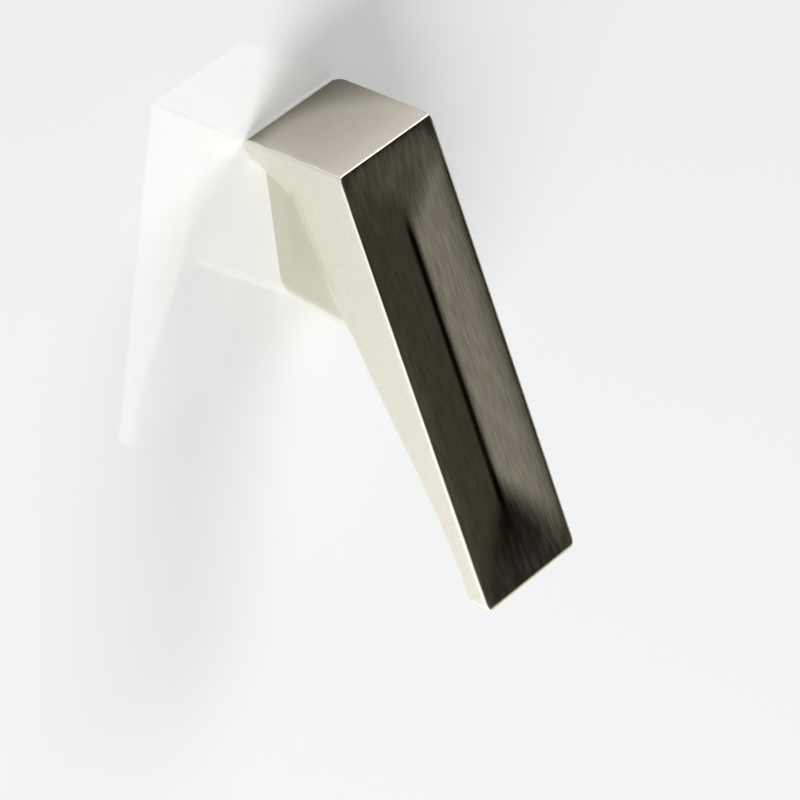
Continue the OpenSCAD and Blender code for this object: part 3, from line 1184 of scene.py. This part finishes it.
woodScrew = {
    "headRadius": 2.8,
    "headCone": 1.6,
    "headProfile": [(-0.14, 0), (-0.04, 0.05), (0, 0.15), (-0.03, 0.27)],  # past its radius, depth
    "shankRadius": 1.2,
    "neckProfile": [(0.12, -0.08), (0.02, 0.12), (0, 0.35)],  # past its radius, past the cone
    "coreRadius": 1.02,
    "coreRun": 0.5,  # the shank narrows to the core over this length
    "crestRadius": 1.5,
    "pitch": 1.35,
    "start": 5.35,
    "stop": 20.0,
    "pointLength": 3.4,
    "pointRadius": 0.05,
    "pastPoint": (0.6, 0.2),  # where the core and the crest would end
    "steps": 36,
    "phases": [(0, 0), (0.32, 0), (0.44, 0.55), (0.5, 1), (0.56, 0.55), (0.68, 0)],
    "recess": [(-0.5, 0.47), (0, 0.42), (1.3, 0.16)],  # depth and half width of the cross's arms
    "recessReach": 1.45,
    "recessTaper": 0.45,
    "sharpAngle": 28,
    "turns": (12, 71),  # degrees, as each was driven
}


def buildWoodScrew():
    s = woodScrew
    bm = bmesh.new()
    profile = [(s["headRadius"] + r, z) for r, z in s["headProfile"]]
    profile += [(s["shankRadius"] + r, s["headCone"] + z) for r, z in s["neckProfile"]]
    profile += [(s["shankRadius"], s["start"] - s["coreRun"]), (s["coreRadius"], s["start"])]
    addRings(bm, profile, s["steps"])
    tip = s["stop"] - s["pointLength"]
    corePast, crestPast = s["pastPoint"]

    def core(z):
        return s["coreRadius"] * (1 - ramp(z, tip, s["stop"] + corePast))

    def crest(z):
        taper = ramp(z, tip, s["stop"] + crestPast)
        return s["crestRadius"] * (1 - taper) + s["pointRadius"] * taper

    addThread(bm, s, core, crest)
    return sewUp(bm)


# A tapered cross-shaped plug, which leaves the screw's recess
def buildCross():
    bm = bmesh.new()
    deepest = woodScrew["recess"][-1][0]
    rings = []
    for depth, half in woodScrew["recess"]:
        out = woodScrew["recessReach"] * (1 - woodScrew["recessTaper"] * max(depth, 0) / deepest)
        quarter = [(out, -half), (out, half), (half, half)]
        ring = []
        for _ in range(4):
            ring += [bm.verts.new((x * mm, y * mm, depth * mm)) for x, y in quarter]
            quarter = [(-y, x) for x, y in quarter]
        rings.append(ring)
    for a, b in zip(rings, rings[1:]):
        joinRings(bm, a, b)
    return sewUp(bm)


def addScrew(name, height, turn):
    screw = addPiece(name, buildWoodScrew(), screwSteel)
    carve(screw, addPiece("crossTool", buildCross(), screwSteel), "DIFFERENCE")
    screw.rotation_euler = (-pi / 2, radians(turn), 0)
    screw.location = (0, plateLow.y, height)
    finishShading(screw, woodScrew["sharpAngle"])
    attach(screw, "handle")
    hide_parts("plate_screws")


for number, height in enumerate(screwHeights):
    addScrew("plateScrew" + str(number + 1), height, woodScrew["turns"][number])
print("plate screws threaded")

grub = {
    "crestRadius": 2.0,
    "coreRadius": 1.62,
    "pitch": 0.7,
    "start": 1.75,
    "stop": 5.8,
    "length": 6.0,
    "pointRadius": 0.12,
    "pointRim": (0.1, 0.06),  # how far out and up the blunt point's corner lies
    "endChamfer": 0.15,
    "steps": 40,
    "phases": [(0, 0), (0.12, 0), (0.46, 1), (0.58, 1), (0.92, 0)],
    "socketFlats": 2.0,
    "socketDepth": 2.5,
    "sharpAngle": 28,
}


def buildGrubScrew():
    s = grub
    bm = bmesh.new()
    out, up = s["pointRim"]
    addRings(bm, [(s["pointRadius"], 0), (s["pointRadius"] + out, up), (s["coreRadius"], s["start"])],
             s["steps"])
    addThread(bm, s, lambda z: s["coreRadius"], lambda z: s["crestRadius"])
    cut = s["endChamfer"]
    addRings(bm, [(s["coreRadius"], s["stop"]), (s["coreRadius"] - cut, s["length"]),
                  (s["coreRadius"] - 2 * cut, s["length"])], s["steps"])
    return sewUp(bm)


def buildSocket():
    corner = grub["socketFlats"] / 2 / cos(radians(30))
    return turned([(corner, grub["length"] + 1), (corner, grub["length"] - grub["socketDepth"])], 6)


grubScrew = addPiece("grubScrew", buildGrubScrew(), blackSteel)
carve(grubScrew, addPiece("socketTool", buildSocket(), blackSteel), "DIFFERENCE")
grubScrew.rotation_euler = (pi, 0, 0)
grubScrew.location = ((grubLow.x + grubHigh.x) / 2, (grubLow.y + grubHigh.y) / 2, grubHigh.z)
finishShading(grubScrew, grub["sharpAngle"])
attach(grubScrew, "set_screw")
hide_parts("grub_screw")
print("grub screw threaded")
